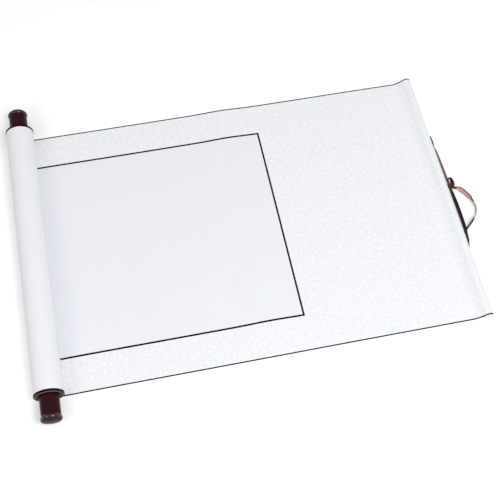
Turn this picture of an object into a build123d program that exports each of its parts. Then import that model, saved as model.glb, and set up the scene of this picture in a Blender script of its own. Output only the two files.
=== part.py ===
from build123d import *

import os
from math import atan, atan2, cos, degrees, pi, radians, sin

os.makedirs("parts", exist_ok=True)

# A hanging scroll lying face up on a table, mostly rolled up: millimetres, X along its length
# from the bottom roll to the top stave, Y across its width, Z up from the table.

# The sheet
sheet_width = 460
backing_thickness = 0.3
silk_thickness = 0.25
binding_width = 2
heart_width = 340
heart_length = 1380
border_width = 3
top_margin = 285

# The roll at the bottom end
roller_radius = 14
turns = 11
gap_between_turns = 0.17

# The lifted top end and its stave
overall_length = 703
stave_radius = 7.5
stave_depth = 9.5
stave_corner_radius = 1
stave_lift = 0.7
rise_length = 26

# Flanges and pull-off knobs at the roller's ends
end_clearance = 0.5
flange_thickness = 4
flange_step_depth = 1.5
flange_step_width = 1.6
spigot_radius = 11
spigot_length = 21
socket_side = 12.7
socket_depth = 19
tenon_clearance = 0.3
tenon_length = 18
tenon_chamfer = 1
knob_radius = 14.7
knob_length = 38.5
bead_radius = 16
bead_length = 6.5
dome_radius = 14.2
dome_height = 2.2

# Ribbons and the staples that hold them
ribbon_width = 8
ribbon_thickness = 0.5
staple_spacing = 210
staple_wire = 0.9
staple_width = 4.4
staple_leg = 6
staple_bend = 1
ribbon_past_staple = 2
hanging_ribbon_height = 0.7
tie_ribbon_height = 0.1
lane_gap = 1.5
lane_end = 222
knot_length = 12
knot_width = 10
knot_height = 9.6
knot_bottom = 0.3
knot_gap = 0.6
knot_place = 8.5
knot_rounding = 2
knot_chamfer = 0.5

# Worked-out sizes of the roll: each half turn is drawn half a pitch tighter than the last
thickness = backing_thickness + silk_thickness
pitch = thickness + gap_between_turns
half_turns = 2 * turns
roll_radius = roller_radius + thickness + (half_turns - 1) * pitch / 2
roller_height = roll_radius + pitch / 2
flange_radius = roller_height
roll_x = flange_radius - overall_length / 2

# Worked-out sizes of the stave: a half-round stick lying on its flat side
flat_drop = stave_depth - stave_radius
fillet_drop = flat_drop - stave_corner_radius
fillet_x = ((stave_radius - stave_corner_radius) ** 2 - fillet_drop**2) ** 0.5
corner_angle = degrees(atan2(fillet_drop, fillet_x))
outer_x = overall_length / 2 - ribbon_thickness - staple_wire
stave_x = outer_x - thickness - stave_radius
stave_z = stave_lift + thickness + flat_drop
stave_top = stave_z + stave_radius

# The sheet's route, followed along the outer face of its backing, as (length, left turn):
# under the stave, round its outer corner, over its top, down to the table and along it
rise_angle = degrees(2 * atan(stave_top / rise_length))
foot_radius = rise_length / sin(radians(rise_angle)) - stave_radius
flat_start_x = stave_x - rise_length
route_start = Vector(stave_x - fillet_x, stave_z - flat_drop)
route_heading = 0
corner_turn = 90 - corner_angle
crown_turn = 90 + corner_angle + rise_angle
route = [
    (2 * fillet_x, 0),
    (stave_corner_radius * radians(corner_turn), corner_turn),
    (stave_radius * radians(crown_turn), crown_turn),
    (foot_radius * radians(rise_angle), -rise_angle),
    (flat_start_x - roll_x, 0),
]
flat_start = sum(length for length, turn in route[:4])
for half_turn in range(half_turns):
    route.append((pi * (roll_radius - half_turn * pitch / 2), -180))
sheet_length = sum(length for length, turn in route)

# Places along the route: the border's outer edges and the heart's two ends
border_start = flat_start + flat_start_x - (outer_x - top_margin)
heart_start = border_start + border_width
heart_end = heart_start + heart_length
border_end = heart_end + border_width

# Half widths across the sheet
half_heart = heart_width / 2
half_window = half_heart + border_width
half_silk = sheet_width / 2 - binding_width
half_sheet = sheet_width / 2


def along(heading):
    """Unit vector of a heading in degrees."""
    return Vector(cos(radians(heading)), sin(radians(heading)))


def advance(point, heading, length, turn):
    """Point and heading at the end of a straight or curved run."""
    if turn == 0:
        return point + along(heading) * length, heading
    radius = length / radians(turn)
    centre = point + along(heading + 90) * radius
    return centre - along(heading + turn + 90) * radius, heading + turn


def draw_side(start, end, depth):
    """Draw the sheet's section at one depth from its back, and give the side's two ends."""
    point, heading, passed, ends = route_start, route_heading, 0, []
    for length, turn in route:
        first = max(start - passed, 0)
        last = min(end - passed, length)
        if first < last:
            begin, facing = advance(point, heading, first, turn * first / length)
            swept = turn * (last - first) / length
            finish, leaving = advance(begin, facing, last - first, swept)
            side_begin = begin + along(facing - 90) * depth
            side_finish = finish + along(leaving - 90) * depth
            if turn == 0:
                Line(side_begin, side_finish)
            else:
                bend = abs(length / radians(turn)) + (depth if turn > 0 else -depth)
                JernArc(side_begin, along(facing), bend, swept)
            ends = [ends[0] if ends else side_begin, side_finish]
        point, heading = advance(point, heading, length, turn)
        passed += length
    return ends


def layer_section(start, end, low, high, y):
    """Section of one layer of the sheet, between two places along it, standing at one Y."""
    with BuildSketch(Plane.XZ.offset(-y)) as section:
        with BuildLine():
            back_begin, back_finish = draw_side(start, end, low)
            face_begin, face_finish = draw_side(start, end, high)
            Line(back_begin, face_begin)
            Line(back_finish, face_finish)
        make_face()
    return section.sketch


# Backing paper, the whole sheet from the stave's wrap to the glued turn on the roller
with BuildPart() as backing_paper:
    extrude(layer_section(0, sheet_length, 0, backing_thickness, half_sheet), sheet_width)
backing_paper.part.label = "backing_paper"
export_step(backing_paper.part, "parts/backing_paper.step")

# Silk mount, one frame round the window of the heart
face = (backing_thickness, thickness)
side_width = half_silk - half_window
with BuildPart() as silk_mount:
    extrude(layer_section(0, border_start, *face, half_silk), 2 * half_silk)
    extrude(layer_section(border_start, border_end, *face, half_silk), side_width)
    extrude(layer_section(border_start, border_end, *face, -half_window), side_width)
    extrude(layer_section(border_end, sheet_length, *face, half_silk), 2 * half_silk)
silk_mount.part.label = "silk_mount"
export_step(silk_mount.part, "parts/silk_mount.step")

# Heart, the blank sheet that is painted or written on
with BuildPart() as heart_paper:
    extrude(layer_section(heart_start, heart_end, *face, half_heart), heart_width)
heart_paper.part.label = "heart_paper"
export_step(heart_paper.part, "parts/heart_paper.step")

# Thin border strips round the heart and narrow bindings along the two long edges
strips = {
    "border_top": (border_start, heart_start, -half_heart, half_heart),
    "border_bottom": (heart_end, border_end, -half_heart, half_heart),
    "border_near": (border_start, border_end, -half_window, -half_heart),
    "border_far": (border_start, border_end, half_heart, half_window),
    "edge_binding_near": (0, sheet_length, -half_sheet, -half_silk),
    "edge_binding_far": (0, sheet_length, half_silk, half_sheet),
}
for name, (start, end, y_from, y_to) in strips.items():
    with BuildPart() as strip:
        extrude(layer_section(start, end, *face, y_to), y_to - y_from)
    strip.part.label = name
    export_step(strip.part, "parts/" + name + ".step")

# Top stave, a half-round stick in the sheet's wrapped end
with BuildPart() as top_stave:
    with BuildSketch(Plane.XZ.offset(-half_sheet)):
        with Locations((stave_x, stave_z)):
            Circle(stave_radius)
        with Locations((stave_x, stave_z - flat_drop)):
            Rectangle(
                3 * stave_radius,
                2 * stave_radius,
                align=(Align.CENTER, Align.MAX),
                mode=Mode.SUBTRACT,
            )
        corners = vertices().group_by(Axis.Y)[0]
        fillet(corners, stave_corner_radius)
    extrude(amount=sheet_width)
top_stave.part.label = "top_stave"
export_step(top_stave.part, "parts/top_stave.step")

# Bottom roller, bored at both ends for the flanges' spigots
roller_half = half_sheet + end_clearance
with BuildPart() as bottom_roller:
    with BuildSketch(Plane.XZ.offset(-roller_half)):
        with Locations((roll_x, roller_height)):
            Circle(roller_radius)
    extrude(amount=2 * roller_half)
    for plane in (Plane.XZ.offset(-roller_half), Plane.XZ.offset(roller_half)):
        inward = 1 if plane.origin.Y > 0 else -1
        with BuildSketch(plane):
            with Locations((roll_x, roller_height)):
                Circle(spigot_radius)
        extrude(amount=inward * spigot_length, mode=Mode.SUBTRACT)
bottom_roller.part.label = "bottom_roller"
export_step(bottom_roller.part, "parts/bottom_roller.step")


# Flanges and knobs, turned about the roller's axis and alike at both ends
flange_face = roller_half + flange_thickness
tenon_side = socket_side - 2 * tenon_clearance
dome_curve = (dome_radius**2 + dome_height**2) / (2 * dome_height)
knob_end = flange_face + knob_length
bead_end = knob_end - dome_height
bead_start = bead_end - bead_length
for side, sign in (("near", -1), ("far", 1)):
    outward = Plane((roll_x, 0, roller_height), x_dir=(1, 0, 0), z_dir=(0, sign, 0))
    profile_plane = Plane(outward.origin, x_dir=(1, 0, 0), z_dir=(0, 0, sign))
    turning_axis = Axis(outward.origin, outward.z_dir)

    with BuildPart() as flange:
        with BuildSketch(profile_plane):
            with BuildLine():
                Polyline(
                    (0, roller_half - spigot_length),
                    (spigot_radius, roller_half - spigot_length),
                    (spigot_radius, roller_half),
                    (flange_radius, roller_half),
                    (flange_radius, flange_face - flange_step_depth),
                    (flange_radius - flange_step_width, flange_face - flange_step_depth),
                    (flange_radius - 2 * flange_step_width, flange_face),
                    (0, flange_face),
                    close=True,
                )
            make_face()
        revolve(axis=turning_axis)
        with BuildSketch(outward.offset(flange_face)):
            Rectangle(socket_side, socket_side, rotation=45)
        extrude(amount=-socket_depth, mode=Mode.SUBTRACT)
    flange.part.label = "flange_" + side
    export_step(flange.part, "parts/flange_" + side + ".step")

    with BuildPart() as knob:
        with BuildSketch(profile_plane):
            with BuildLine():
                Polyline(
                    (0, knob_end),
                    (0, flange_face),
                    (knob_radius, flange_face),
                    (knob_radius, bead_start),
                )
                ThreePointArc(
                    (knob_radius, bead_start),
                    (bead_radius, (bead_start + bead_end) / 2),
                    (dome_radius, bead_end),
                )
                RadiusArc((dome_radius, bead_end), (0, knob_end), -dome_curve)
            make_face()
        revolve(axis=turning_axis)
        with BuildSketch(outward.offset(flange_face)):
            Rectangle(tenon_side, tenon_side, rotation=45)
        extrude(amount=-tenon_length)
        tip = faces().sort_by(turning_axis)[0]
        chamfer(tip.edges(), tenon_chamfer)
    knob.part.label = "knob_" + side
    export_step(knob.part, "parts/knob_" + side + ".step")

# Staples of bent wire through the hanging ribbon's ends into the stave
staple_z = hanging_ribbon_height + ribbon_width / 2
crown_x = outer_x + ribbon_thickness + staple_wire / 2
tip_x = outer_x - staple_leg
for side, sign in (("near", -1), ("far", 1)):
    staple_plane = Plane.XZ.offset(-sign * staple_spacing / 2)
    low_z = staple_z - staple_width / 2
    high_z = staple_z + staple_width / 2
    with BuildPart() as staple:
        with BuildLine(staple_plane) as wire_path:
            FilletPolyline(
                (tip_x, low_z),
                (crown_x, low_z),
                (crown_x, high_z),
                (tip_x, high_z),
                radius=staple_bend,
            )
        with BuildSketch(Plane.YZ.offset(tip_x)):
            with Locations((sign * staple_spacing / 2, low_z)):
                Circle(staple_wire / 2)
        sweep()
    staple.part.label = "staple_" + side
    export_step(staple.part, "parts/staple_" + side + ".step")


def route_radii(points):
    """Bend radius at each inner point: 0.45 of the shorter run over the half turn's tangent."""
    radii = []
    for before, here, after in zip(points, points[1:], points[2:]):
        run_in = Vector(*here) - Vector(*before)
        run_out = Vector(*after) - Vector(*here)
        half = radians(run_in.get_angle(run_out) / 2)
        radii.append(0.45 * min(run_in.length, run_out.length) * cos(half) / sin(half))
    return radii


# Hanging ribbon, on edge against the stave and slack between its staples
ribbon_x = outer_x + ribbon_thickness / 2
ribbon_end = staple_spacing / 2 + ribbon_past_staple
hanging_route = [
    (ribbon_x, ribbon_end),
    (ribbon_x, 97),
    (ribbon_x + 1, 81),
    (ribbon_x + 2.2, 51),
    (ribbon_x + 2.8, 10),
    (ribbon_x + 3.3, -30),
    (ribbon_x + 3, -62),
    (ribbon_x + 2.2, -84),
    (ribbon_x, -97),
    (ribbon_x, -ribbon_end),
]
with BuildPart() as hanging_ribbon:
    with BuildSketch(Plane.XY.offset(hanging_ribbon_height)):
        with BuildLine() as hanging_path:
            FilletPolyline(*hanging_route, radius=route_radii(hanging_route))
        trace(line_width=ribbon_thickness)
    extrude(amount=ribbon_width)
hanging_ribbon.part.label = "hanging_ribbon"
export_step(hanging_ribbon.part, "parts/hanging_ribbon.step")

# Knot of the tie ribbon, closed round the hanging ribbon
knot_x = outer_x + knot_gap + knot_width / 2
with BuildPart() as tie_knot:
    with BuildSketch(Plane.XY.offset(knot_bottom)):
        with Locations((knot_x, knot_place)):
            RectangleRounded(knot_width, knot_length, knot_rounding)
    extrude(amount=knot_height)
    chamfer(faces().group_by(Axis.Z)[-1].edges(), knot_chamfer)
    add(hanging_ribbon.part, mode=Mode.SUBTRACT)
tie_knot.part.label = "tie_knot"
export_step(tie_knot.part, "parts/tie_knot.step")

# Tie ribbon: a loop on edge that comes back to the stave, then a flat lane beneath the sheet
loop_route = [
    (outer_x + knot_gap + knot_width, knot_place - 3.5),
    (outer_x + 21, 1),
    (outer_x + 30.5, -15),
    (outer_x + 36, -35),
    (outer_x + 33, -52),
    (outer_x + 21, -66),
    (outer_x + 5, -79),
]
loop_end = Vector(*loop_route[-1])
last_run = Vector(*loop_route[-2]) - loop_end
lane_x = stave_x - stave_radius - ribbon_width / 2 - lane_gap
tail_start = loop_end + last_run / 4
turn_corner = loop_end - last_run * ((loop_end.X - lane_x) / last_run.X)
turn_start = turn_corner + last_run.normalized() * ribbon_width
tail_route = [
    (tail_start.X, tail_start.Y),
    (turn_start.X, turn_start.Y),
    (lane_x, turn_corner.Y + ribbon_width),
    (lane_x - 0.5, -70),
    (lane_x + 0.4, -20),
    (lane_x - 0.3, 55),
    (lane_x + 0.3, 140),
    (lane_x, lane_end),
]
turn_bend = 0.6 * ribbon_width
tail_radii = [turn_bend, turn_bend] + route_radii(tail_route)[2:]
with BuildPart() as tie_ribbon:
    with BuildSketch(Plane.XY.offset(tie_ribbon_height)):
        with BuildLine() as loop_path:
            FilletPolyline(*loop_route, radius=route_radii(loop_route))
        trace(line_width=ribbon_thickness)
    extrude(amount=ribbon_width)
    with BuildSketch(Plane.XY.offset(tie_ribbon_height)):
        with BuildLine() as tail_path:
            FilletPolyline(*tail_route, radius=tail_radii)
        trace(line_width=ribbon_width)
    extrude(amount=ribbon_thickness)
tie_ribbon.part.label = "tie_ribbon"
export_step(tie_ribbon.part, "parts/tie_ribbon.step")

overlap = (Vector(*loop_route[-1]) - Vector(*tail_route[0])).length
print("hanging ribbon bends", [round(r, 1) for r in route_radii(hanging_route)])
print("tie ribbon bends", [round(r, 1) for r in route_radii(loop_route) + tail_radii])
print("hanging ribbon length", round(hanging_path.wires()[0].length, 1))
tie_length = loop_path.wires()[0].length + tail_path.wires()[0].length - overlap
print("tie ribbon length", round(tie_length, 1))
print("sheet length", round(sheet_length, 1), "roll radius", round(roll_radius, 2))
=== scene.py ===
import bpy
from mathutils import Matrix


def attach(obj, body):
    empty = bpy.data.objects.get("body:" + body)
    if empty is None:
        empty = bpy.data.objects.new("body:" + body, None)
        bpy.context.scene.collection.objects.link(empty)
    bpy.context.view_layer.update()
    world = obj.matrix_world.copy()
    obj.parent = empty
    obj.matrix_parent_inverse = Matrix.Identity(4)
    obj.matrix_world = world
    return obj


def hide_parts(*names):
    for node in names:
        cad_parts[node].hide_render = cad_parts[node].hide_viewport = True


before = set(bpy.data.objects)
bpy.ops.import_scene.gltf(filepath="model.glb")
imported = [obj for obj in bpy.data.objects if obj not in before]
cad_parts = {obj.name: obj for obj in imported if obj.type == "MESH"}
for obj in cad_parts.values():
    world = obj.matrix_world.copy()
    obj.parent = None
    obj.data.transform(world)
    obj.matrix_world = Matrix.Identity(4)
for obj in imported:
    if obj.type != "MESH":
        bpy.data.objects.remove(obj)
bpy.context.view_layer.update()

from math import atan, atan2, cos, pi, radians, sin

import bpy
import numpy as np
from mathutils import Matrix, Vector

# Sizes of the scroll in metres, as the solids have them
overall_length = 0.703
sheet_width = 0.460
backing_thickness = 0.0003
sheet_thickness = 0.00055
binding_width = 0.002
heart_width = 0.340
heart_length = 1.380
border_width = 0.003
top_margin = 0.285
roller_radius = 0.014
half_turns = 22
turn_pitch = 0.00072
stave_radius = 0.0075
stave_depth = 0.0095
stave_corner = 0.001
stave_lift = 0.0007
rise_length = 0.026
ribbon_width = 0.008
ribbon_thickness = 0.00035
rib_rate = 9000.0
staple_reach = 0.0014  # how far ribbon and staple stand out from the wrapped stave
outer_x = overall_length / 2 - staple_reach
half_sheet = sheet_width / 2
half_silk = half_sheet - binding_width
half_heart = heart_width / 2
half_window = half_heart + border_width

# The paper's soft waves on the table, and how far from its bends they fade out
ripple_height = 0.0006
ridge_height = 0.0024
ridge_x = 0.011
ridge_run = 0.034
ridge_near_end = -0.225
ridge_fade = 0.05
wave_fade = 0.09

# The route of the sheet seen from the side: under the half-round stave, up its outer side,
# over its top, down to the table, along it and round the roller
roll_radius = roller_radius + sheet_thickness + (half_turns - 1) * turn_pitch / 2
roll_x = roll_radius + turn_pitch / 2 - overall_length / 2
flange_radius = roll_x + overall_length / 2
flat_drop = stave_depth - stave_radius
corner_drop = flat_drop - stave_corner
corner_x = ((stave_radius - stave_corner) ** 2 - corner_drop**2) ** 0.5
corner_angle = atan2(corner_drop, corner_x)
stave_x = outer_x - sheet_thickness - stave_radius
stave_z = stave_lift + sheet_thickness + flat_drop
rise_angle = 2 * atan((stave_z + stave_radius) / rise_length)
foot_radius = rise_length / sin(rise_angle) - stave_radius
flat_start_x = stave_x - rise_length
crown_turn = pi / 2 + corner_angle + rise_angle
runs = [
    (2 * corner_x, 0.0),
    (stave_corner * (pi / 2 - corner_angle), pi / 2 - corner_angle),
    (stave_radius * crown_turn, crown_turn),
    (foot_radius * rise_angle, -rise_angle),
    (flat_start_x - roll_x, 0.0),
] + [(pi * (roll_radius - k * turn_pitch / 2), -pi) for k in range(half_turns)]
run_length = np.array([r[0] for r in runs])
run_turn = np.array([r[1] for r in runs])
run_begin = np.concatenate([[0.0], np.cumsum(run_length)])
sheet_length = run_begin[-1]
flat_begin, flat_end = run_begin[4], run_begin[5]
border_begin = flat_begin + flat_start_x - (outer_x - top_margin)
heart_begin = border_begin + border_width
heart_end = heart_begin + heart_length
border_end = heart_end + border_width

# Stations drawn in each run, how close two of them may lie, and the slack of a comparison
run_steps = [4, 7, 26, 16, 66] + [18] * half_turns
closest_stations = 2e-5
hair = 1e-6

# Rings round the roller's axis: a lighter brown painted highlight on the flanges' sloping rims, and
# more polish on the knobs' beads
rim_highlight_ring = flange_radius - 0.0024
bead_ring = 0.0157


def run_starts():
    """Heading and point at the start of each run, following straight lines and round arcs."""
    heading, point = 0.0, np.array([stave_x - corner_x, stave_z - flat_drop])
    headings, points = [], []
    for length, turn in runs:
        headings.append(heading)
        points.append(point)
        if turn == 0:
            point = point + length * np.array([cos(heading), sin(heading)])
        else:
            bend = length / turn
            leaving = heading + turn
            point = point + bend * np.array(
                [sin(leaving) - sin(heading), cos(heading) - cos(leaving)]
            )
            heading = leaving
    return np.array(headings), np.array(points)


run_heading, run_point = run_starts()


def wave(x, y):
    """Height of the paper's soft waves on the table.

    A low ripple is the sum of two long sine waves, and one ridge crosses the sheet near the
    heart's top end: exp(-((x - ridge_x) / ridge_run)^2), fading out towards the near edge.
    """
    ripple = 0.5 + 0.25 * np.sin(17 * x + 5 * y + 1.0) + 0.25 * np.sin(9 * x - 13 * y + 2.2)
    inside = np.clip((y - ridge_near_end) / ridge_fade, 0, 1)
    ridge = np.exp(-(((x - ridge_x) / ridge_run) ** 2)) * inside * inside * (3 - 2 * inside)
    return ripple_height * ripple + ridge_height * ridge


def sheet_surface(s, y, depth):
    """Points of the sheet at length s, width y and depth from its back.

    The route's runs give the section: point + depth * normal, where the normal is the heading
    turned a quarter to the right. On the flat run a low wave lifts the sheet, fading at both ends.
    """
    index = np.clip(np.searchsorted(run_begin, s, side="right") - 1, 0, len(runs) - 1)
    along = s - run_begin[index]
    turning = run_turn[index] / run_length[index]
    heading = run_heading[index] + turning * along
    start = run_heading[index]
    curved = turning != 0
    safe = np.where(curved, turning, 1.0)
    x = np.where(curved, (np.sin(heading) - np.sin(start)) / safe, along * np.cos(start))
    z = np.where(curved, (np.cos(start) - np.cos(heading)) / safe, along * np.sin(start))
    x = x + run_point[index, 0] + depth * np.sin(heading)
    z = z + run_point[index, 1] - depth * np.cos(heading)
    fade_in = np.clip((s - flat_begin) / wave_fade, 0, 1)
    fade_out = np.clip((flat_end - s) / wave_fade, 0, 1)
    fade = (fade_in * fade_in * (3 - 2 * fade_in)) * (fade_out * fade_out * (3 - 2 * fade_out))
    x, z, y, fade = np.broadcast_arrays(x[:, None], z[:, None], y[None, :], fade[:, None])
    return np.stack([x, y, z + fade * wave(x, y)], axis=-1)


def lengths_between(first, last):
    """Stations along the sheet: close on the bends, wider apart on the flat."""
    parts = []
    for begin, length, steps in zip(run_begin, run_length, run_steps):
        parts.append(np.linspace(begin, begin + length, steps, endpoint=False))
    marks = [border_begin, heart_begin, heart_end, border_end, first, last]
    stations = np.unique(np.round(np.concatenate(parts + [marks]), 7))
    stations = stations[(stations >= first - hair) & (stations <= last + hair)]
    keep = np.concatenate([[True], np.diff(stations) > closest_stations])
    return stations[keep]


def widths_between(low, high):
    """Stations across the sheet, with the edges of the window and the bindings among them."""
    edges = np.array([half_heart, half_window, half_silk, half_sheet])
    even = 0.020 * np.arange(-11, 12)
    stations = np.unique(np.round(np.concatenate([even, -edges, edges]), 6))
    return stations[(stations >= low - hair) & (stations <= high + hair)]


def laminate(name, s, y, low, high, kept=None):
    """One layer of the sheet as a closed shell: the surface at two depths, joined by walls.

    kept marks the cells of the (s, y) grid that exist; a wall closes each side of a kept cell
    whose neighbour is missing. The UV map holds (s, y) in metres.
    """
    rows, cols = len(s), len(y)
    kept = np.ones((rows - 1, cols - 1), bool) if kept is None else kept
    points = np.concatenate(
        [sheet_surface(s, y, low).reshape(-1, 3), sheet_surface(s, y, high).reshape(-1, 3)]
    )
    number = np.arange(rows * cols).reshape(rows, cols)
    upper = rows * cols
    i, j = np.nonzero(kept)
    a, b, c, d = number[i, j], number[i + 1, j], number[i + 1, j + 1], number[i, j + 1]
    faces = [np.stack([a, b, c, d], 1), np.stack([d, c, b, a], 1) + upper]
    frame_cells = np.pad(kept, 1)
    for di, dj in ((-1, 0), (1, 0), (0, -1), (0, 1)):
        open_side = kept & ~frame_cells[1 + di : rows + di, 1 + dj : cols + dj]
        i, j = np.nonzero(open_side)
        if di:
            row = i + (di > 0)
            p, q = number[row, j], number[row, j + 1]
            forward = di < 0
        else:
            col = j + (dj > 0)
            p, q = number[i, col], number[i + 1, col]
            forward = dj > 0
        wall = np.stack([p, q, q + upper, p + upper], 1)
        faces.append(wall if forward else wall[:, ::-1])
    faces = np.concatenate(faces)
    used, packed = np.unique(faces, return_inverse=True)
    coordinates = np.stack(np.broadcast_arrays(s[:, None], y[None, :]), -1).reshape(-1, 2)
    uv = np.concatenate([coordinates, coordinates])[used]
    return solid(name, points[used], packed.reshape(-1, 4), uv)


def solid(name, points, faces, uv, crease=40):
    """Mesh object from arrays of points and quads, shaded smooth but for edges past the crease."""
    mesh = bpy.data.meshes.new(name)
    mesh.from_pydata(points.tolist(), [], faces.tolist())
    corners = np.empty(len(mesh.loops), dtype=np.int64)
    mesh.loops.foreach_get("vertex_index", corners)
    layer = mesh.uv_layers.new(name="UVMap")
    layer.data.foreach_set("uv", uv[corners].astype(np.float32).ravel())
    mesh.shade_smooth()
    mesh.set_sharp_from_angle(angle=radians(crease))
    piece = bpy.data.objects.new(name, mesh)
    bpy.context.scene.collection.objects.link(piece)
    return piece


def smooth_route(points):
    """Points of the smooth NURBS line of order 3 that has these places as its control points."""
    curve = bpy.data.curves.new("route", "CURVE")
    curve.dimensions = "3D"
    spline = curve.splines.new("NURBS")
    spline.points.add(len(points) - 1)
    for point, place in zip(spline.points, points):
        point.co = (*place, 1.0)
    spline.order_u = 3
    spline.use_endpoint_u = True
    spline.resolution_u = 14
    carrier = bpy.data.objects.new("route", curve)
    bpy.context.scene.collection.objects.link(carrier)
    bpy.context.view_layer.update()
    line = bpy.data.meshes.new_from_object(carrier)
    places = np.empty(len(line.vertices) * 3)
    line.vertices.foreach_get("co", places)
    bpy.data.objects.remove(carrier)
    return places.reshape(-1, 3)


def resample(places, count):
    """The same line with points evenly spaced along its length, and each point's share of it."""
    steps = np.linalg.norm(np.diff(places, axis=0), axis=1)
    length = np.concatenate([[0.0], np.cumsum(steps)])
    stations = np.linspace(0, length[-1], count)
    line = np.stack([np.interp(stations, length, places[:, k]) for k in range(3)], 1)
    return line, stations / length[-1]


def eased(share, stations):
    """Values between (share, value) stations, joined by smooth steps 3t^2 - 2t^3."""
    at = np.array([s[0] for s in stations])
    value = np.array([s[1] for s in stations], dtype=float)
    k = np.clip(np.searchsorted(at, share, side="right") - 1, 0, len(at) - 2)
    t = np.clip((share - at[k]) / (at[k + 1] - at[k]), 0, 1)
    return value[k] + (value[k + 1] - value[k]) * t * t * (3 - 2 * t)


def unit(vectors):
    """Vectors of length one."""
    return vectors / np.linalg.norm(vectors, axis=-1, keepdims=True)


def leaning(line, share, lean_at):
    """Across directions of a band that leans: level cos(lean) + rise sin(lean).

    Level is square to the line and points to its right. The lean in degrees is eased along the
    line, and is held where the lower edge would otherwise sink into the table.
    """
    tangent = unit(np.gradient(line, axis=0))
    level = unit(np.cross(tangent, [0.0, 0.0, 1.0]))
    rise = np.cross(level, tangent)
    resting = np.arcsin(np.clip((line[:, 2] - ribbon_thickness) / (ribbon_width / 2), 0, 1))
    lean = np.clip(np.radians(eased(share, lean_at)), -resting, resting)[:, None]
    return level * np.cos(lean) + rise * np.sin(lean)


def band(line, share, across, width_at, shade_at, cup=0.0):
    """A closed flat band along a line: line + across * w + normal * t.

    w runs over the width and t over the thickness, and cup bends the section into a shallow
    trough. Gives points, quads, UV in metres (length, w) and its painted shade along the length.
    """
    normal = np.cross(unit(np.gradient(line, axis=0)), across)
    w = np.linspace(-0.5, 0.5, 9)
    width = eased(share, width_at)[:, None]
    trough = cup * width * (1 - (2 * w) ** 2)
    sides = []
    for t, order in ((-0.5, 1), (0.5, -1)):
        lift = trough + t * ribbon_thickness
        outward = across[:, None] * (width * w)[..., None]
        side = line[:, None] + outward + normal[:, None] * lift[..., None]
        sides.append(side[:, ::order])
    loop = np.concatenate(sides, axis=1)
    rows, cols = loop.shape[:2]
    number = np.arange(rows * cols).reshape(rows, cols)
    turned = np.roll(number, -1, axis=1)
    faces = [np.stack([number[:-1], number[1:], turned[1:], turned[:-1]], -1).reshape(-1, 4)]
    for row, order in ((0, 1), (rows - 1, -1)):
        lower, upper = number[row, : cols // 2], number[row, cols // 2 :][::-1]
        cap = np.stack([lower[:-1], lower[1:], upper[1:], upper[:-1]], -1)
        faces.append(cap[:, ::order])
    length = np.concatenate([[0.0], np.cumsum(np.linalg.norm(np.diff(line, axis=0), axis=1))])
    span = np.concatenate([w, w[::-1]]) * ribbon_width
    uv = np.stack(np.broadcast_arrays(length[:, None], span[None, :]), -1).reshape(-1, 2)
    painted_shade = np.repeat(eased(share, shade_at), cols)
    return loop.reshape(-1, 3), np.concatenate(faces)[:, ::-1], uv, painted_shade


def band_piece(name, bands):
    """One mesh object from one or more closed bands."""
    first = np.concatenate([[0], np.cumsum([len(b[0]) for b in bands])])
    points = np.concatenate([b[0] for b in bands])
    faces = np.concatenate([b[1] + start for b, start in zip(bands, first)])
    uv = np.concatenate([b[2] for b in bands])
    piece = solid(name, points, faces, uv, crease=60)
    layer = piece.data.attributes.new("painted_shade", "FLOAT", "POINT")
    layer.data.foreach_set("value", np.concatenate([b[3] for b in bands]).astype(np.float32))
    return piece


def metres(*rows):
    """Places written in millimetres from the stave's outer side, as metres in the frame."""
    return [(outer_x + x / 1000, y / 1000, z / 1000) for x, y, z in rows]


# Shader pieces


def socket(group, name, kind, way, value=None):
    """Add one named socket to a node group."""
    made = group.interface.new_socket(name=name, in_out=way, socket_type=kind)
    if value is not None:
        made.default_value = value


def shader_group(name, inputs, outputs):
    """Start a node group with its input and output nodes."""
    group = bpy.data.node_groups.new(name, "ShaderNodeTree")
    for label, value in inputs.items():
        socket(group, label, "NodeSocketFloat", "INPUT", value)
    for label in outputs:
        socket(group, label, "NodeSocketFloat", "OUTPUT")
    return group, group.nodes.new("NodeGroupInput"), group.nodes.new("NodeGroupOutput")


class Board:
    """Short names for adding nodes and wires to one node tree."""

    def __init__(self, tree):
        self.tree = tree

    def add(self, kind, **settings):
        """A new node with its settings."""
        node = self.tree.nodes.new(kind)
        for key, value in settings.items():
            setattr(node, key, value)
        return node

    def wire(self, start, end):
        """A link from an output socket to an input socket."""
        self.tree.links.new(start, end)

    def maths(self, operation, a, b=None, c=None, clamp=False):
        """A sum on up to three numbers or sockets."""
        node = self.add("ShaderNodeMath", operation=operation, use_clamp=clamp)
        for place, value in enumerate((a, b, c)):
            if value is None:
                continue
            if isinstance(value, (int, float)):
                node.inputs[place].default_value = value
            else:
                self.wire(value, node.inputs[place])
        return node.outputs[0]

    def noise(self, coordinates, scale, detail=2.0, rough=0.5):
        """Cloudy noise between 0 and 1."""
        node = self.add("ShaderNodeTexNoise")
        node.inputs["Scale"].default_value = scale
        node.inputs["Detail"].default_value = detail
        node.inputs["Roughness"].default_value = rough
        self.wire(coordinates, node.inputs["Vector"])
        return node.outputs["Fac"]

    def mix_colours(self, amount, first, second):
        """The first colour at 0 and the second at 1, each a tuple or a socket."""
        node = self.add("ShaderNodeMix", data_type="RGBA")
        self.wire(amount, node.inputs[0])
        for place, colour in ((6, first), (7, second)):
            if isinstance(colour, tuple):
                node.inputs[place].default_value = (*colour, 1)
            else:
                self.wire(colour, node.inputs[place])
        return node.outputs[2]

    def span(self, value, low, high):
        """A value from 0 to 1 stretched to run from low to high."""
        node = self.add("ShaderNodeMapRange")
        self.wire(value, node.inputs["Value"])
        node.inputs["To Min"].default_value = low
        node.inputs["To Max"].default_value = high
        return node.outputs["Result"]

    def bump(self, height, distance):
        """Normals that follow a height of up to this distance in metres."""
        node = self.add("ShaderNodeBump")
        node.inputs["Distance"].default_value = distance
        self.wire(height, node.inputs["Height"])
        return node.outputs["Normal"]


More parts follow.
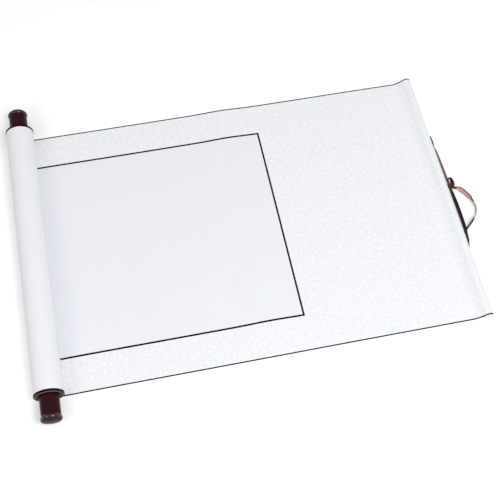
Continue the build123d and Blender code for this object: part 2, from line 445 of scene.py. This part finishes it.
def woven_threads():
    """Warp and weft threads from the UV map: two crossed sine ridges, and slow uneven tone."""
    group, given, out = shader_group("woven threads", {"Pitch": 0.0006}, ("Height", "Tone"))
    board = Board(group)
    place = board.add("ShaderNodeUVMap").outputs[0]
    parts = board.add("ShaderNodeSeparateXYZ")
    board.wire(place, parts.inputs[0])
    per = board.maths("DIVIDE", 2 * pi, given.outputs["Pitch"])
    warp = board.maths("SINE", board.maths("MULTIPLY", parts.outputs[0], per))
    weft = board.maths("SINE", board.maths("MULTIPLY", parts.outputs[1], per))
    height = board.maths("MULTIPLY_ADD", board.maths("ADD", warp, weft), 0.25, 0.5)
    board.wire(height, out.inputs["Height"])
    board.wire(board.noise(place, 260.0, 3.0), out.inputs["Tone"])
    return group


def paper_fibres():
    """Short fibres and cloudy pulp from the UV map: fine noise over a slow noise."""
    group, _, out = shader_group("paper fibres", {}, ("Height", "Tone"))
    board = Board(group)
    place = board.add("ShaderNodeUVMap").outputs[0]
    fine = board.noise(place, 900.0, 4.0, 0.7)
    cloud = board.noise(place, 22.0, 3.0, 0.55)
    board.wire(fine, out.inputs["Height"])
    pulp = board.maths("MULTIPLY", cloud, 0.65)
    board.wire(board.maths("MULTIPLY_ADD", fine, 0.35, pulp), out.inputs["Tone"])
    return group


def damask_motif():
    """Scattered rosettes joined by leafy stems, as a mask from the UV map.

    Each cell of a jittered grid holds a rosette of radius 0.26 + 0.07 cos 6a with its eye cut
    out, and the cells' borders are stems, broken into leaves by a fine sine.
    """
    group, given, out = shader_group("damask motif", {"Repeat": 0.0066}, ("Mask",))
    board = Board(group)
    place = board.add("ShaderNodeUVMap").outputs[0]
    per = board.maths("DIVIDE", 1.0, given.outputs["Repeat"])
    cells = board.add("ShaderNodeTexVoronoi", voronoi_dimensions="2D")
    borders = board.add("ShaderNodeTexVoronoi", voronoi_dimensions="2D")
    borders.feature = "DISTANCE_TO_EDGE"
    for node in (cells, borders):
        board.wire(place, node.inputs["Vector"])
        board.wire(per, node.inputs["Scale"])
        node.inputs["Randomness"].default_value = 0.72
    local = board.add("ShaderNodeVectorMath", operation="SUBTRACT")
    board.wire(place, local.inputs[0])
    board.wire(cells.outputs["Position"], local.inputs[1])
    parts = board.add("ShaderNodeSeparateXYZ")
    board.wire(local.outputs[0], parts.inputs[0])
    radius = cells.outputs["Distance"]
    angle = board.maths("ARCTAN2", parts.outputs[1], parts.outputs[0])
    petals = board.maths("COSINE", board.maths("MULTIPLY", angle, 6.0))
    outer = board.maths("SUBTRACT", board.maths("MULTIPLY_ADD", petals, 0.07, 0.26), radius)
    inner = board.maths("SUBTRACT", 0.11, radius)
    flower = board.maths("MULTIPLY", outer, 16.0, clamp=True)
    eye = board.maths("MULTIPLY", inner, 30.0, clamp=True)
    seam = board.maths("SUBTRACT", 0.085, borders.outputs["Distance"])
    stem = board.maths("MULTIPLY", seam, 18.0, clamp=True)
    leaves = board.maths("SINE", board.maths("MULTIPLY", angle, 17.0))
    leaf = board.maths("MULTIPLY", stem, board.maths("MULTIPLY_ADD", leaves, 0.9, 0.55, clamp=True))
    figure = board.maths("ADD", board.maths("SUBTRACT", flower, eye), leaf, clamp=True)
    board.wire(figure, out.inputs["Mask"])
    return group


def moulded_skin():
    """Faint orange-peel of moulded plastic, from Object coordinates."""
    group, _, out = shader_group("moulded skin", {}, ("Height", "Tone"))
    board = Board(group)
    place = board.add("ShaderNodeTexCoord").outputs["Object"]
    board.wire(board.noise(place, 420.0, 2.0), out.inputs["Height"])
    board.wire(board.noise(place, 60.0, 4.0, 0.6), out.inputs["Tone"])
    return group


def highlight_and_gloss_ring():
    """Ring round the roller's axis from Object coordinates: 1 on the slope of the flange's rim.

    The mask falls off with the distance between a point's radius and the ring's middle.
    """
    ring = {"Radius": rim_highlight_ring, "Half Width": 0.0009}
    group, given, out = shader_group("rim highlight and bead gloss ring", ring, ("Mask",))
    board = Board(group)
    parts = board.add("ShaderNodeSeparateXYZ")
    board.wire(board.add("ShaderNodeTexCoord").outputs["Object"], parts.inputs[0])
    across = board.maths("SUBTRACT", parts.outputs[0], roll_x)
    rise = board.maths("SUBTRACT", parts.outputs[2], flange_radius)
    squares = board.maths("MULTIPLY_ADD", across, across, board.maths("MULTIPLY", rise, rise))
    radius = board.maths("SQRT", squares)
    off = board.maths("ABSOLUTE", board.maths("SUBTRACT", radius, given.outputs["Radius"]))
    near = board.maths("SUBTRACT", 1.0, board.maths("DIVIDE", off, given.outputs["Half Width"]))
    board.wire(board.maths("MULTIPLY", near, 2.5, clamp=True), out.inputs["Mask"])
    return group


groups = {
    "threads": woven_threads(),
    "fibres": paper_fibres(),
    "damask": damask_motif(),
    "moulded": moulded_skin(),
    "highlight_gloss": highlight_and_gloss_ring(),
}


def material(name):
    """A new material with its board and its Principled shader."""
    made = bpy.data.materials.new(name)
    made.use_nodes = True
    shader = made.node_tree.nodes["Principled BSDF"]
    return made, Board(made.node_tree), shader


def placed(board, key, **values):
    """One of the shared groups, placed with its own values."""
    node = board.add("ShaderNodeGroup", node_tree=groups[key])
    for label, value in values.items():
        node.inputs[label].default_value = value
    return node.outputs


def damask_silk():
    """White satin damask: the figure is a shade brighter and smoother than its ground."""
    made, board, shader = material("damask silk")
    figure = placed(board, "damask")["Mask"]
    threads = placed(board, "threads", Pitch=0.0007)
    soft = board.maths("MULTIPLY_ADD", figure, 0.6, board.maths("MULTIPLY", threads["Tone"], 0.45))
    white = board.mix_colours(soft, (0.775, 0.805, 0.843), (0.995, 1.0, 1.0))
    board.wire(white, shader.inputs["Base Color"])
    board.wire(board.span(figure, 0.56, 0.36), shader.inputs["Roughness"])
    weave = board.maths("MULTIPLY", threads["Height"], 0.4)
    relief = board.maths("MULTIPLY_ADD", figure, 0.6, weave)
    board.wire(board.bump(relief, 0.00006), shader.inputs["Normal"])
    shader.inputs["Specular IOR Level"].default_value = 0.35
    shader.inputs["Sheen Weight"].default_value = 0.15
    return made


def fibre_paper(name, dark, light, roughness, gloss=0.25):
    """Matt paper with cloudy pulp and fine fibres."""
    made, board, shader = material(name)
    fibres = placed(board, "fibres")
    board.wire(board.mix_colours(fibres["Tone"], dark, light), shader.inputs["Base Color"])
    uneven = board.span(fibres["Tone"], roughness - 0.06, roughness + 0.06)
    board.wire(uneven, shader.inputs["Roughness"])
    board.wire(board.bump(fibres["Height"], 0.00004), shader.inputs["Normal"])
    shader.inputs["Specular IOR Level"].default_value = gloss
    return made


def woven_cloth(name, dark, light, pitch, roughness):
    """Dark woven binding cloth with visible threads."""
    made, board, shader = material(name)
    threads = placed(board, "threads", Pitch=pitch)
    board.wire(board.mix_colours(threads["Tone"], dark, light), shader.inputs["Base Color"])
    uneven = board.span(threads["Height"], roughness + 0.1, roughness - 0.1)
    board.wire(uneven, shader.inputs["Roughness"])
    board.wire(board.bump(threads["Height"], 0.00005), shader.inputs["Normal"])
    shader.inputs["Specular IOR Level"].default_value = 0.08
    return made


def satin_ribbon(name, darker, lighter, sheer):
    """Brown satin: a reddish face, near-black painted shade, fine ribs along it and close edges.

    The ribs are sin(rib_rate w) across the width w, one in every 0.7 mm.

    The painted_shade attribute is painted shade for the stretches in shade: there the brown turns
    near-black and rougher. A sheer ribbon lets some of the floor through between its edges.
    """
    made, board, shader = material(name)
    parts = board.add("ShaderNodeSeparateXYZ")
    board.wire(board.add("ShaderNodeUVMap").outputs[0], parts.inputs[0])
    painted_shade = board.add("ShaderNodeAttribute", attribute_name="painted_shade").outputs["Fac"]
    ribs = board.maths("SINE", board.maths("MULTIPLY", parts.outputs[1], rib_rate))
    ribs = board.maths("MULTIPLY_ADD", ribs, 0.5, 0.5)
    threads = placed(board, "threads", Pitch=0.0005)
    tone = board.maths("MULTIPLY_ADD", ribs, 0.4, board.maths("MULTIPLY", threads["Tone"], 0.6))
    lit = board.mix_colours(tone, darker, lighter)
    # painted shade: a near-black copy of the satin for the stretches that lie in shade
    shaded = board.mix_colours(tone, (0.002, 0.001, 0.001), (0.024, 0.007, 0.0055))
    # painted shade: the shaded copy replaces the lit brown as the attribute rises
    brown = board.mix_colours(painted_shade, lit, shaded)
    board.wire(board.span(painted_shade, 0.4, 0.6), shader.inputs["Roughness"])
    board.wire(board.bump(ribs, 0.00006), shader.inputs["Normal"])
    shader.inputs["Specular IOR Level"].default_value = 0.2
    if sheer < 1:
        side = board.maths("DIVIDE", parts.outputs[1], ribbon_width / 2)
        # Towards one edge (negative w) the sheer ribbon turns darker and more opaque
        one_edge_dark = board.maths("MULTIPLY", board.maths("SUBTRACT", -0.3, side), 2.0, clamp=True)
        selvedge = board.maths("MULTIPLY", board.maths("SUBTRACT", side, 0.78), 3.0, clamp=True)
        weave = board.maths("MULTIPLY_ADD", threads["Tone"], 0.4, sheer - 0.2)
        close = board.maths("MULTIPLY_ADD", painted_shade, 0.5, weave)
        edges = board.maths("MULTIPLY_ADD", one_edge_dark, 0.5, selvedge)
        board.wire(board.maths("ADD", close, edges, clamp=True), shader.inputs["Alpha"])
        deep = board.maths("MULTIPLY", one_edge_dark, 0.75)
        brown = board.mix_colours(deep, brown, (0.09, 0.012, 0.010))
    board.wire(brown, shader.inputs["Base Color"])
    return made


def dark_plastic(name, dark, light, roughness, gloss):
    """Glossy moulded plastic, brown-black with a maroon tint."""
    made, board, shader = material(name)
    skin = placed(board, "moulded")
    board.wire(board.mix_colours(skin["Tone"], dark, light), shader.inputs["Base Color"])
    uneven = board.span(skin["Tone"], roughness - 0.03, roughness + 0.04)
    board.wire(uneven, shader.inputs["Roughness"])
    board.wire(board.bump(skin["Height"], 0.00001), shader.inputs["Normal"])
    shader.inputs["Specular IOR Level"].default_value = gloss
    return made, board, shader


def beaded_knob():
    """Maroon-black plastic with a more polished bead near the end."""
    made, board, shader = dark_plastic(
        "maroon black plastic", (0.020, 0.0035, 0.0055), (0.038, 0.008, 0.012), 0.12, 0.07
    )
    bead = placed(board, "highlight_gloss", Radius=bead_ring)["Mask"]
    board.wire(board.span(bead, 0.07, 0.7), shader.inputs["Specular IOR Level"])
    return made


def flange_painted_highlight():
    """Brown-black plastic with a lighter brown painted highlight on its sloping rim."""
    made, board, shader = dark_plastic(
        "brown black plastic", (0.008, 0.003, 0.003), (0.016, 0.006, 0.006), 0.14, 0.05
    )
    plain = shader.inputs["Base Color"].links[0].from_socket
    mask = placed(board, "highlight_gloss", Radius=rim_highlight_ring)["Mask"]
    # painted highlight: a light brown ring on the rim's slope stands in for the lamps' reflection
    painted_highlight = board.mix_colours(mask, plain, (0.115, 0.082, 0.066))
    board.wire(painted_highlight, shader.inputs["Base Color"])
    return made


def planed_wood():
    """Pale softwood with grain lines along the stick, from Object coordinates."""
    made, board, shader = material("pale planed wood")
    shape = board.add("ShaderNodeMapping")
    shape.inputs["Scale"].default_value = (1.0, 0.05, 1.0)
    board.wire(board.add("ShaderNodeTexCoord").outputs["Object"], shape.inputs["Vector"])
    grain = board.noise(shape.outputs[0], 700.0, 5.0, 0.65)
    pale = board.mix_colours(grain, (0.84, 0.82, 0.79), (0.93, 0.92, 0.90))
    board.wire(pale, shader.inputs["Base Color"])
    board.wire(board.span(grain, 0.5, 0.7), shader.inputs["Roughness"])
    board.wire(board.bump(grain, 0.0001), shader.inputs["Normal"])
    return made


def zinc_wire():
    """Zinc-plated staple wire with faint drawing marks."""
    made, board, shader = material("zinc wire")
    marks = board.noise(board.add("ShaderNodeTexCoord").outputs["Object"], 1800.0, 3.0)
    grey = board.mix_colours(marks, (0.60, 0.60, 0.62), (0.80, 0.80, 0.82))
    board.wire(grey, shader.inputs["Base Color"])
    board.wire(board.span(marks, 0.25, 0.42), shader.inputs["Roughness"])
    shader.inputs["Metallic"].default_value = 1.0
    return made


silk = damask_silk()
heart_sheet = fibre_paper("heart paper", (0.79, 0.812, 0.853), (0.842, 0.860, 0.897), 0.72)
backing_sheet = fibre_paper("backing paper", (0.815, 0.818, 0.85), (0.875, 0.877, 0.905), 0.68)
border_sheet = fibre_paper(
    "black border paper", (0.003, 0.003, 0.004), (0.010, 0.010, 0.012), 0.75, gloss=0.08
)
binding_cloth = woven_cloth(
    "brown edge binding", (0.004, 0.001, 0.003), (0.014, 0.004, 0.008), 0.0006, 0.75
)
ribbon_satin = satin_ribbon(
    "brown satin ribbon", (0.10, 0.018, 0.012), (0.26, 0.06, 0.045), 1
)
sheer_satin = satin_ribbon(
    "sheer brown satin ribbon", (0.40, 0.09, 0.065), (0.66, 0.22, 0.17), 0.36
)
knob_plastic = beaded_knob()
flange_plastic = flange_painted_highlight()
wood = planed_wood()
zinc = zinc_wire()


def finish_piece(piece, look, slot, *nodes):
    """Dress a piece, let it ride on the scroll and stand for its solids."""
    piece.data.materials.clear()
    piece.data.materials.append(look)
    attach(piece, "scroll")
    if nodes:
        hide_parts(*nodes)
    return piece


# The sheet: backing, silk frame, heart, border strips and edge bindings
face = (backing_thickness, sheet_thickness)
whole = lengths_between(0, sheet_length)
sheet_y = widths_between(-half_sheet, half_sheet)
backing = laminate("backing", whole, sheet_y, 0, backing_thickness)
finish_piece(backing, backing_sheet, "backing", "backing_paper")

silk_y = widths_between(-half_silk, half_silk)
in_window = (whole[:-1] >= border_begin - hair) & (whole[1:] <= border_end + hair)
across_window = (silk_y[:-1] >= -half_window - hair) & (silk_y[1:] <= half_window + hair)
silk_cells = ~(in_window[:, None] & across_window[None, :])
silk_frame = laminate("silk_frame", whole, silk_y, *face, kept=silk_cells)
finish_piece(silk_frame, silk, "silk", "silk_mount")

heart_s = lengths_between(heart_begin, heart_end)
heart = laminate("heart", heart_s, widths_between(-half_heart, half_heart), *face)
finish_piece(heart, heart_sheet, "heart", "heart_paper")

strips = {
    "border_strip_top": (border_begin, heart_begin, -half_heart, half_heart, "border_top"),
    "border_strip_bottom": (heart_end, border_end, -half_heart, half_heart, "border_bottom"),
    "border_strip_near": (border_begin, border_end, -half_window, -half_heart, "border_near"),
    "border_strip_far": (border_begin, border_end, half_heart, half_window, "border_far"),
}
for name, (first, last, low, high, node) in strips.items():
    strip = laminate(name, lengths_between(first, last), widths_between(low, high), *face)
    finish_piece(strip, border_sheet, "border", node)
for side, low, high in (("near", -half_sheet, -half_silk), ("far", half_silk, half_sheet)):
    strip = laminate("binding_" + side, whole, widths_between(low, high), *face)
    finish_piece(strip, binding_cloth, "binding", "edge_binding_" + side)

# Ribbons: the hanging ribbon leans on the stave, the tie ribbon lies in a loop and under the
# sheet. Their leans (degrees), painted shade and widths are (share of the length, value) stations
hanging_points = metres(
    (0.25, 107, 4.7),
    (0.25, 97, 4.7),
    (2.4, 81, 3.6),
    (3.1, 51, 3.2),
    (3.7, 10, 3.0),
    (5.5, -30, 2.0),
    (5.3, -62, 2.1),
    (3.9, -84, 3.2),
    (2.1, -97, 4.2),
    (0.7, -107, 4.7),
)
hanging_line, share = resample(smooth_route(hanging_points), 150)
hanging_lean = [
    (0, 90),
    (0.06, 88),
    (0.2, 50),
    (0.44, 42),
    (0.62, 24),
    (0.78, 27),
    (0.93, 46),
    (1, 72),
]
# painted shade: light on the upper part, near-black past the knot on the lower part
hanging_shade = [(0, 0.2), (0.475, 0.05), (0.505, 1), (1, 1)]
gathered = [(0, 1), (0.4, 1), (0.455, 0.6), (0.51, 1), (1, 1)]
hanging_width = [(at, width * ribbon_width) for at, width in gathered]
across = leaning(hanging_line, share, hanging_lean)
hanging_shape = band(hanging_line, share, across, hanging_width, hanging_shade, cup=0.03)
hanging = band_piece("hanging_band", [hanging_shape])
finish_piece(hanging, ribbon_satin, "ribbon", "hanging_ribbon")

tie_points = metres(
    (6.5, 3.0, 5.0),
    (11.5, 1.8, 4.6),
    (17, 1.2, 3.4),
    (23.5, -6.5, 2.5),
    (30, -17.5, 2.6),
    (33.8, -29, 3.7),
    (34, -38.5, 4.4),
    (32, -47.5, 4.4),
    (27.6, -56, 4.4),
    (20.5, -63.5, 4.3),
    (12.5, -70.5, 4.3),
    (6, -76.5, 3.6),
    (-0.5, -82.2, 0.8),
    (-6, -87.2, 0.3),
    (-14.7, -94.9, 0.3),
    (-21.05, -91.3, 0.3),
    (-21.55, -70, 0.3),
    (-20.65, -20, 0.3),
    (-21.35, 55, 0.3),
    (-20.75, 140, 0.3),
    (-21.05, 222, 0.3),
)
tie_line, share = resample(smooth_route(tie_points), 320)
tie_lean = [
    (0, -35),
    (0.02, -40),
    (0.045, -14),
    (0.07, -4),
    (0.09, 40),
    (0.11, 88),
    (0.16, 90),
    (0.185, 74),
    (0.22, 74),
    (0.25, 0),
    (1, 0),
]
narrowed = [
    (0, 0.45),
    (0.015, 0.5),
    (0.035, 1),
    (0.2, 1),
    (0.23, 0.6),
    (0.245, 0.5),
    (0.28, 1),
    (1, 1),
]
tie_width = [(at, width * ribbon_width) for at, width in narrowed]
# painted shade: near-black on the stretches where the tie ribbon lies in shade
tie_shade = [
    (0, 1),
    (0.012, 1),
    (0.022, 0),
    (0.075, 0.1),
    (0.097, 1),
    (0.11, 1),
    (0.13, 0.1),
    (0.155, 0.15),
    (0.175, 1),
    (1, 0.8),
]
across = leaning(tie_line, share, tie_lean)
tie = band_piece("tie_band", [band(tie_line, share, across, tie_width, tie_shade)])
finish_piece(tie, sheer_satin, "ribbon", "tie_ribbon")


def knot_bands():
    """The knot's three folds: a winding round the hanging ribbon, a curl in painted shade and a
    round lobe.

    The winding is an oval about the Y axis that drifts along it, and the other two follow
    smooth lines with the band leaning.
    """
    turn = np.linspace(0, 2.9 * pi, 70)
    centre = np.array(metres((4.2, 6.2, 4.2))[0])
    half_across, half_up, half_drift = 0.0036, 0.0034, 0.0016
    oval = [half_across * np.cos(turn), half_drift * np.sin(0.5 * turn), half_up * np.sin(turn)]
    winding = centre + np.stack(oval, 1)
    level = np.tile([0.0, 1.0, 0.0], (len(turn), 1))
    winding_width = [(0, 0.0052), (1, 0.0044)]
    winding_shade = [(0, 0.2), (1, 0.5)]
    folds = [band(winding, turn / turn[-1], level, winding_width, winding_shade, cup=0.1)]
    curl = metres(
        (5.2, 4.5, 5.5),
        (7, 9, 6),
        (8.6, 13.5, 6.3),
        (9.8, 18, 6.2),
        (7.5, 21.2, 6),
        (4.6, 20, 5.6),
        (3.6, 16.5, 5.2),
        (3.4, 13.5, 5),
    )
    lobe = metres(
        (9.2, 18.5, 4.6),
        (11.4, 18, 4.2),
        (12.2, 12.5, 4),
        (11, 7.5, 4),
        (7.4, 4.6, 4.4),
    )
    curl_width = [(0, 0.0045), (0.55, 0.0045), (0.72, 0.0022), (1, 0.0014)]
    lobe_width = [(0, 0.003), (0.4, 0.0052), (1, 0.004)]
    # painted shade: 1.0 darkens the whole curl, 0.15 the lobe only a little
    curl_way = (curl, 25, curl_width, 1.0)
    lobe_way = (lobe, 28, lobe_width, 0.15)
    for points, tilt, width, painted_shade in (curl_way, lobe_way):
        line, share = resample(smooth_route(points), 60)
        across = leaning(line, share, [(0, tilt), (1, tilt + 10)])
        shaded = [(0, painted_shade), (1, painted_shade)]
        folds.append(band(line, share, across, width, shaded, cup=0.04))
    return folds


knot_folds = band_piece("tie_knot_folds", knot_bands())
finish_piece(knot_folds, ribbon_satin, "ribbon", "tie_knot")

# Rigid solids keep their shapes and get their finishes
for node, look in {
    "flange_near": flange_plastic,
    "flange_far": flange_plastic,
    "knob_near": knob_plastic,
    "knob_far": knob_plastic,
    "top_stave": wood,
    "bottom_roller": wood,
    "staple_near": zinc,
    "staple_far": zinc,
}.items():
    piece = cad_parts[node]
    piece.data.materials.clear()
    piece.data.materials.append(look)

# Camera, fitted to the photograph's edges
picture_pixels = 500
film_width = 36
focal_pixels = 925.9
camera_turn = radians(-14.264)
camera_height = radians(62.128)
camera_roll = radians(2.86)
camera_distance = 1.4726
aim = Vector((0.0054, -0.0449, 0.0))
level_share = cos(camera_height)
away = Vector(
    (sin(camera_turn) * level_share, -cos(camera_turn) * level_share, sin(camera_height))
)
right = (-away).cross(Vector((0, 0, 1))).normalized()
up = right.cross(-away)
tilted_right = right * cos(camera_roll) + up * sin(camera_roll)
tilted_up = up * cos(camera_roll) - right * sin(camera_roll)
camera_data = bpy.data.cameras.new("camera")
camera_data.sensor_width = film_width
camera_data.lens = focal_pixels / picture_pixels * film_width
camera_data.clip_end = 20
camera = bpy.data.objects.new("camera", camera_data)
camera.matrix_world = Matrix.Translation(aim + away * camera_distance) @ Matrix(
    (tilted_right, tilted_up, away)
).transposed().to_4x4()
bpy.context.scene.collection.objects.link(camera)
bpy.context.scene.camera = camera


def soft_lamp(name, place, size, watts):
    """A square lamp at a place, aimed at the middle of the scroll."""
    data = bpy.data.lights.new(name, "AREA")
    data.shape = "SQUARE"
    data.size = size
    data.energy = watts
    lamp = bpy.data.objects.new(name, data)
    lamp.location = place
    lamp.rotation_euler = (-Vector(place)).to_track_quat("-Z", "Y").to_euler()
    bpy.context.scene.collection.objects.link(lamp)


soft_lamp("key lamp", (0.62, -1.15, 2.0), 1.0, 26.5)
soft_lamp("fill lamp", (-1.6, -1.25, 1.6), 0.8, 8)

world = bpy.data.worlds.new("studio")
bpy.context.scene.world = world
world.use_nodes = True
sky = world.node_tree.nodes["Background"]
sky.inputs["Color"].default_value = (1, 1, 1, 1)
sky.inputs["Strength"].default_value = 0.595


def pale_floor():
    """Plain white floor: it takes soft shadows, and a little added white lifts it for the eye."""
    made, board, shader = material("pale floor")
    shader.inputs["Base Color"].default_value = (0.82, 0.82, 0.82, 1)
    shader.inputs["Roughness"].default_value = 0.9
    shader.inputs["Specular IOR Level"].default_value = 0.0
    rays = board.add("ShaderNodeLightPath").outputs
    seen = board.maths("MAXIMUM", rays["Is Camera Ray"], rays["Is Glossy Ray"])
    seen = board.maths("MAXIMUM", seen, rays["Is Transmission Ray"])
    lift = board.add("ShaderNodeEmission")
    board.wire(board.maths("MULTIPLY", seen, 0.25), lift.inputs["Strength"])
    both = board.add("ShaderNodeAddShader")
    board.wire(shader.outputs[0], both.inputs[0])
    board.wire(lift.outputs[0], both.inputs[1])
    board.wire(both.outputs[0], made.node_tree.nodes["Material Output"].inputs["Surface"])
    return made


reach = 8
floor_corners = [(-reach, -reach, 0), (reach, -reach, 0), (reach, reach, 0), (-reach, reach, 0)]
floor_mesh = bpy.data.meshes.new("floor")
floor_mesh.from_pydata(floor_corners, [], [(0, 1, 2, 3)])
floor = bpy.data.objects.new("floor", floor_mesh)
floor.data.materials.append(pale_floor())
bpy.context.scene.collection.objects.link(floor)
bpy.context.scene.view_settings.view_transform = "Standard"
